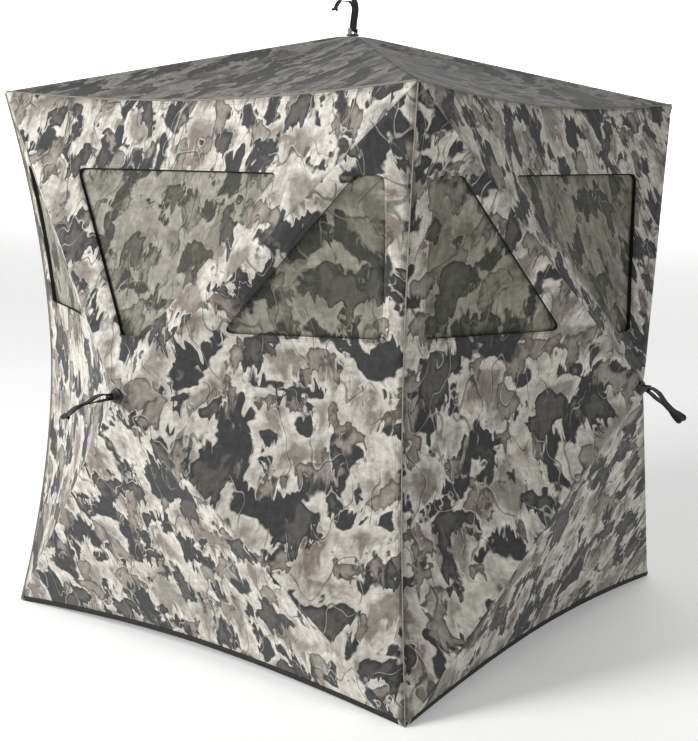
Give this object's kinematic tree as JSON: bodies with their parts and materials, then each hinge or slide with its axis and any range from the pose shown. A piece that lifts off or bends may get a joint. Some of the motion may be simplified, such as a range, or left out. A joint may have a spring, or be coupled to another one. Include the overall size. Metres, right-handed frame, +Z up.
{
  "type": "pop up ground blind",
  "caption": "Four-sided pop up hunting shelter with pushed-out cloth walls and roof on hubs and poles, with mesh windows, covers, a zipped door and pull straps.",
  "frame": {"origin": "on the ground under the middle of the roof", "axes": "+Z up, -Y towards the front wall, +X towards the right wall seen from the front"},
  "size_m": [2.26, 2.26, 1.8937],
  "materials": {
    "camouflage_cloth": "matte",
    "window_mesh": "matte",
    "black_cloth": "matte",
    "webbing": "matte",
    "zip_metal": "satin",
    "pole_fibreglass": "satin",
    "black_plastic": "satin"
  },
  "bodies": {
    "root": {"front_wall": "camouflage_cloth", "right_wall": "camouflage_cloth", "back_wall": "camouflage_cloth", "left_wall": "camouflage_cloth", "roof_panel": "camouflage_cloth", "front_window_screens": "window_mesh", "right_window_screens": "window_mesh", "left_window_screens": "window_mesh", "door_zipper": "black_plastic", "top_corner_sockets": "black_plastic", "bottom_corner_sockets": "black_plastic", "corner_feet": "black_plastic", "ground_stake_tabs": "webbing"},
    "front_hub": {"front_hub": "black_plastic", "front_hub_cap": "black_plastic", "front_pull_strap": "webbing"},
    "front_pole_upper_right": {"front_pole_upper_right": "pole_fibreglass"},
    "front_pole_upper_left": {"front_pole_upper_left": "pole_fibreglass"},
    "front_pole_lower_left": {"front_pole_lower_left": "pole_fibreglass"},
    "front_pole_lower_right": {"front_pole_lower_right": "pole_fibreglass"},
    "right_hub": {"right_hub": "black_plastic", "right_hub_cap": "black_plastic", "right_pull_strap": "webbing"},
    "right_pole_upper_right": {"right_pole_upper_right": "pole_fibreglass"},
    "right_pole_upper_left": {"right_pole_upper_left": "pole_fibreglass"},
    "right_pole_lower_left": {"right_pole_lower_left": "pole_fibreglass"},
    "right_pole_lower_right": {"right_pole_lower_right": "pole_fibreglass"},
    "back_hub": {"back_hub": "black_plastic", "back_hub_cap": "black_plastic", "back_pull_strap": "webbing"},
    "back_pole_upper_right": {"back_pole_upper_right": "pole_fibreglass"},
    "back_pole_upper_left": {"back_pole_upper_left": "pole_fibreglass"},
    "back_pole_lower_left": {"back_pole_lower_left": "pole_fibreglass"},
    "back_pole_lower_right": {"back_pole_lower_right": "pole_fibreglass"},
    "left_hub": {"left_hub": "black_plastic", "left_hub_cap": "black_plastic", "left_pull_strap": "webbing"},
    "left_pole_upper_right": {"left_pole_upper_right": "pole_fibreglass"},
    "left_pole_upper_left": {"left_pole_upper_left": "pole_fibreglass"},
    "left_pole_lower_left": {"left_pole_lower_left": "pole_fibreglass"},
    "left_pole_lower_right": {"left_pole_lower_right": "pole_fibreglass"},
    "roof_hub": {"roof_hub": "black_plastic", "roof_hub_cap": "black_plastic", "roof_pull_strap": "webbing"},
    "roof_pole_front_right": {"roof_pole_front_right": "pole_fibreglass"},
    "roof_pole_back_right": {"roof_pole_back_right": "pole_fibreglass"},
    "roof_pole_back_left": {"roof_pole_back_left": "pole_fibreglass"},
    "roof_pole_front_left": {"roof_pole_front_left": "pole_fibreglass"},
    "front_right_window_cover": {"front_right_window_cover": "black_cloth"},
    "front_left_window_cover": {"front_left_window_cover": "black_cloth"},
    "right_right_window_cover": {"right_right_window_cover": "black_cloth"},
    "right_left_window_cover": {"right_left_window_cover": "black_cloth"},
    "left_right_window_cover": {"left_right_window_cover": "black_cloth"},
    "left_left_window_cover": {"left_left_window_cover": "black_cloth"},
    "front_centre_window_cover": {"front_centre_window_cover": "black_cloth"},
    "right_centre_window_cover": {"right_centre_window_cover": "black_cloth"},
    "left_centre_window_cover": {"left_centre_window_cover": "black_cloth"},
    "door": {"door_panel": "camouflage_cloth"},
    "upper_zip_slider": {"upper_zip_slider": "zip_metal"},
    "lower_zip_slider": {"lower_zip_slider": "zip_metal"}
  },
  "joints": [
    {"name": "front_hub_push", "type": "slide", "parent": "root", "child": "front_hub", "axis": [0, 1, 0], "range_m": [0, 0.51], "deforming": ["front_pull_strap"]},
    {"name": "front_pole_upper_right_pivot", "type": "hinge", "parent": "front_hub", "child": "front_pole_upper_right", "pos_m": [0.02041, -0.965, 0.81699], "axis": [0.733, 0, -0.6803], "range_deg": [0, 30.1]},
    {"name": "front_pole_upper_left_pivot", "type": "hinge", "parent": "front_hub", "child": "front_pole_upper_left", "pos_m": [-0.02041, -0.965, 0.81699], "axis": [0.733, 0, 0.6803], "range_deg": [0, 30.1]},
    {"name": "front_pole_lower_left_pivot", "type": "hinge", "parent": "front_hub", "child": "front_pole_lower_left", "pos_m": [-0.02041, -0.965, 0.77301], "axis": [-0.733, 0, 0.6803], "range_deg": [0, 30.1]},
    {"name": "front_pole_lower_right_pivot", "type": "hinge", "parent": "front_hub", "child": "front_pole_lower_right", "pos_m": [0.02041, -0.965, 0.77301], "axis": [-0.733, 0, -0.6803], "range_deg": [0, 30.1]},
    {"name": "right_hub_push", "type": "slide", "parent": "root", "child": "right_hub", "axis": [-1, 0, 0], "range_m": [0, 0.51], "deforming": ["right_pull_strap"]},
    {"name": "right_pole_upper_right_pivot", "type": "hinge", "parent": "right_hub", "child": "right_pole_upper_right", "pos_m": [0.965, 0.02041, 0.81699], "axis": [0, 0.733, -0.6803], "range_deg": [0, 30.1]},
    {"name": "right_pole_upper_left_pivot", "type": "hinge", "parent": "right_hub", "child": "right_pole_upper_left", "pos_m": [0.965, -0.02041, 0.81699], "axis": [0, 0.733, 0.6803], "range_deg": [0, 30.1]},
    {"name": "right_pole_lower_left_pivot", "type": "hinge", "parent": "right_hub", "child": "right_pole_lower_left", "pos_m": [0.965, -0.02041, 0.77301], "axis": [0, -0.733, 0.6803], "range_deg": [0, 30.1]},
    {"name": "right_pole_lower_right_pivot", "type": "hinge", "parent": "right_hub", "child": "right_pole_lower_right", "pos_m": [0.965, 0.02041, 0.77301], "axis": [0, -0.733, -0.6803], "range_deg": [0, 30.1]},
    {"name": "back_hub_push", "type": "slide", "parent": "root", "child": "back_hub", "axis": [0, -1, 0], "range_m": [0, 0.51], "deforming": ["back_pull_strap"]},
    {"name": "back_pole_upper_right_pivot", "type": "hinge", "parent": "back_hub", "child": "back_pole_upper_right", "pos_m": [-0.02041, 0.965, 0.81699], "axis": [-0.733, 0, -0.6803], "range_deg": [0, 30.1]},
    {"name": "back_pole_upper_left_pivot", "type": "hinge", "parent": "back_hub", "child": "back_pole_upper_left", "pos_m": [0.02041, 0.965, 0.81699], "axis": [-0.733, 0, 0.6803], "range_deg": [0, 30.1]},
    {"name": "back_pole_lower_left_pivot", "type": "hinge", "parent": "back_hub", "child": "back_pole_lower_left", "pos_m": [0.02041, 0.965, 0.77301], "axis": [0.733, 0, 0.6803], "range_deg": [0, 30.1]},
    {"name": "back_pole_lower_right_pivot", "type": "hinge", "parent": "back_hub", "child": "back_pole_lower_right", "pos_m": [-0.02041, 0.965, 0.77301], "axis": [0.733, 0, -0.6803], "range_deg": [0, 30.1]},
    {"name": "left_hub_push", "type": "slide", "parent": "root", "child": "left_hub", "axis": [1, 0, 0], "range_m": [0, 0.51], "deforming": ["left_pull_strap"]},
    {"name": "left_pole_upper_right_pivot", "type": "hinge", "parent": "left_hub", "child": "left_pole_upper_right", "pos_m": [-0.965, -0.02041, 0.81699], "axis": [0, -0.733, -0.6803], "range_deg": [0, 30.1]},
    {"name": "left_pole_upper_left_pivot", "type": "hinge", "parent": "left_hub", "child": "left_pole_upper_left", "pos_m": [-0.965, 0.02041, 0.81699], "axis": [0, -0.733, 0.6803], "range_deg": [0, 30.1]},
    {"name": "left_pole_lower_left_pivot", "type": "hinge", "parent": "left_hub", "child": "left_pole_lower_left", "pos_m": [-0.965, 0.02041, 0.77301], "axis": [0, 0.733, 0.6803], "range_deg": [0, 30.1]},
    {"name": "left_pole_lower_right_pivot", "type": "hinge", "parent": "left_hub", "child": "left_pole_lower_right", "pos_m": [-0.965, -0.02041, 0.77301], "axis": [0, 0.733, -0.6803], "range_deg": [0, 30.1]},
    {"name": "roof_hub_push", "type": "slide", "parent": "root", "child": "roof_hub", "axis": [0, 0, -1], "range_m": [0, 0.36], "deforming": ["roof_pull_strap"]},
    {"name": "roof_pole_front_right_pivot", "type": "hinge", "parent": "roof_hub", "child": "roof_pole_front_right", "pos_m": [0.02121, -0.02121, 1.74], "axis": [-0.7071, -0.7071, 0], "range_deg": [0, 22.43]},
    {"name": "roof_pole_back_right_pivot", "type": "hinge", "parent": "roof_hub", "child": "roof_pole_back_right", "pos_m": [0.02121, 0.02121, 1.74], "axis": [0.7071, -0.7071, 0], "range_deg": [0, 22.43]},
    {"name": "roof_pole_back_left_pivot", "type": "hinge", "parent": "roof_hub", "child": "roof_pole_back_left", "pos_m": [-0.02121, 0.02121, 1.74], "axis": [0.7071, 0.7071, 0], "range_deg": [0, 22.43]},
    {"name": "roof_pole_front_left_pivot", "type": "hinge", "parent": "roof_hub", "child": "roof_pole_front_left", "pos_m": [-0.02121, -0.02121, 1.74], "axis": [-0.7071, 0.7071, 0], "range_deg": [0, 22.43]},
    {"name": "front_right_window_cover_slide", "type": "slide", "parent": "root", "child": "front_right_window_cover", "axis": [-0.0658, 0.1224, -0.9903], "range_m": [0, 0.26]},
    {"name": "front_left_window_cover_slide", "type": "slide", "parent": "root", "child": "front_left_window_cover", "axis": [0.0658, 0.1224, -0.9903], "range_m": [0, 0.26]},
    {"name": "right_right_window_cover_slide", "type": "slide", "parent": "root", "child": "right_right_window_cover", "axis": [-0.1224, -0.0658, -0.9903], "range_m": [0, 0.26]},
    {"name": "right_left_window_cover_slide", "type": "slide", "parent": "root", "child": "right_left_window_cover", "axis": [-0.1224, 0.0658, -0.9903], "range_m": [0, 0.26]},
    {"name": "left_right_window_cover_slide", "type": "slide", "parent": "root", "child": "left_right_window_cover", "axis": [0.1224, 0.0658, -0.9903], "range_m": [0, 0.26]},
    {"name": "left_left_window_cover_slide", "type": "slide", "parent": "root", "child": "left_left_window_cover", "axis": [0.1224, -0.0658, -0.9903], "range_m": [0, 0.26]},
    {"name": "front_centre_window_cover_hinge", "type": "hinge", "parent": "root", "child": "front_centre_window_cover", "pos_m": [0, -0.763, 1.395], "axis": [1, 0, 0], "range_deg": [0, 95]},
    {"name": "right_centre_window_cover_hinge", "type": "hinge", "parent": "root", "child": "right_centre_window_cover", "pos_m": [0.763, 0, 1.395], "axis": [0, 1, 0], "range_deg": [0, 95]},
    {"name": "left_centre_window_cover_hinge", "type": "hinge", "parent": "root", "child": "left_centre_window_cover", "pos_m": [-0.763, 0, 1.395], "axis": [0, -1, 0], "range_deg": [0, 95]},
    {"name": "door_hinge", "type": "hinge", "parent": "root", "child": "door", "pos_m": [-0.62, 0.6675, 0.795], "axis": [0, 0, -1], "range_deg": [0, 90]},
    {"name": "upper_zip_slider_slide", "type": "slide", "parent": "root", "child": "upper_zip_slider", "axis": [-0.6616, -0.2428, 0.7095], "range_m": [0, 0.64]},
    {"name": "lower_zip_slider_slide", "type": "slide", "parent": "root", "child": "lower_zip_slider", "axis": [-0.6616, -0.2428, -0.7095], "range_m": [0, 0.64]}
  ],
  "couplings": [
    {"joint": "front_pole_upper_right_pivot", "follows": "front_hub_push", "rad_per_m": 1.0266},
    {"joint": "front_pole_upper_left_pivot", "follows": "front_hub_push", "rad_per_m": 1.0266},
    {"joint": "front_pole_lower_left_pivot", "follows": "front_hub_push", "rad_per_m": 1.0266},
    {"joint": "front_pole_lower_right_pivot", "follows": "front_hub_push", "rad_per_m": 1.0266},
    {"joint": "right_pole_upper_right_pivot", "follows": "right_hub_push", "rad_per_m": 1.0266},
    {"joint": "right_pole_upper_left_pivot", "follows": "right_hub_push", "rad_per_m": 1.0266},
    {"joint": "right_pole_lower_left_pivot", "follows": "right_hub_push", "rad_per_m": 1.0266},
    {"joint": "right_pole_lower_right_pivot", "follows": "right_hub_push", "rad_per_m": 1.0266},
    {"joint": "back_pole_upper_right_pivot", "follows": "back_hub_push", "rad_per_m": 1.0266},
    {"joint": "back_pole_upper_left_pivot", "follows": "back_hub_push", "rad_per_m": 1.0266},
    {"joint": "back_pole_lower_left_pivot", "follows": "back_hub_push", "rad_per_m": 1.0266},
    {"joint": "back_pole_lower_right_pivot", "follows": "back_hub_push", "rad_per_m": 1.0266},
    {"joint": "left_pole_upper_right_pivot", "follows": "left_hub_push", "rad_per_m": 1.0266},
    {"joint": "left_pole_upper_left_pivot", "follows": "left_hub_push", "rad_per_m": 1.0266},
    {"joint": "left_pole_lower_left_pivot", "follows": "left_hub_push", "rad_per_m": 1.0266},
    {"joint": "left_pole_lower_right_pivot", "follows": "left_hub_push", "rad_per_m": 1.0266},
    {"joint": "roof_pole_front_right_pivot", "follows": "roof_hub_push", "rad_per_m": 1.0825},
    {"joint": "roof_pole_back_right_pivot", "follows": "roof_hub_push", "rad_per_m": 1.0825},
    {"joint": "roof_pole_back_left_pivot", "follows": "roof_hub_push", "rad_per_m": 1.0825},
    {"joint": "roof_pole_front_left_pivot", "follows": "roof_hub_push", "rad_per_m": 1.0825}
  ]
}
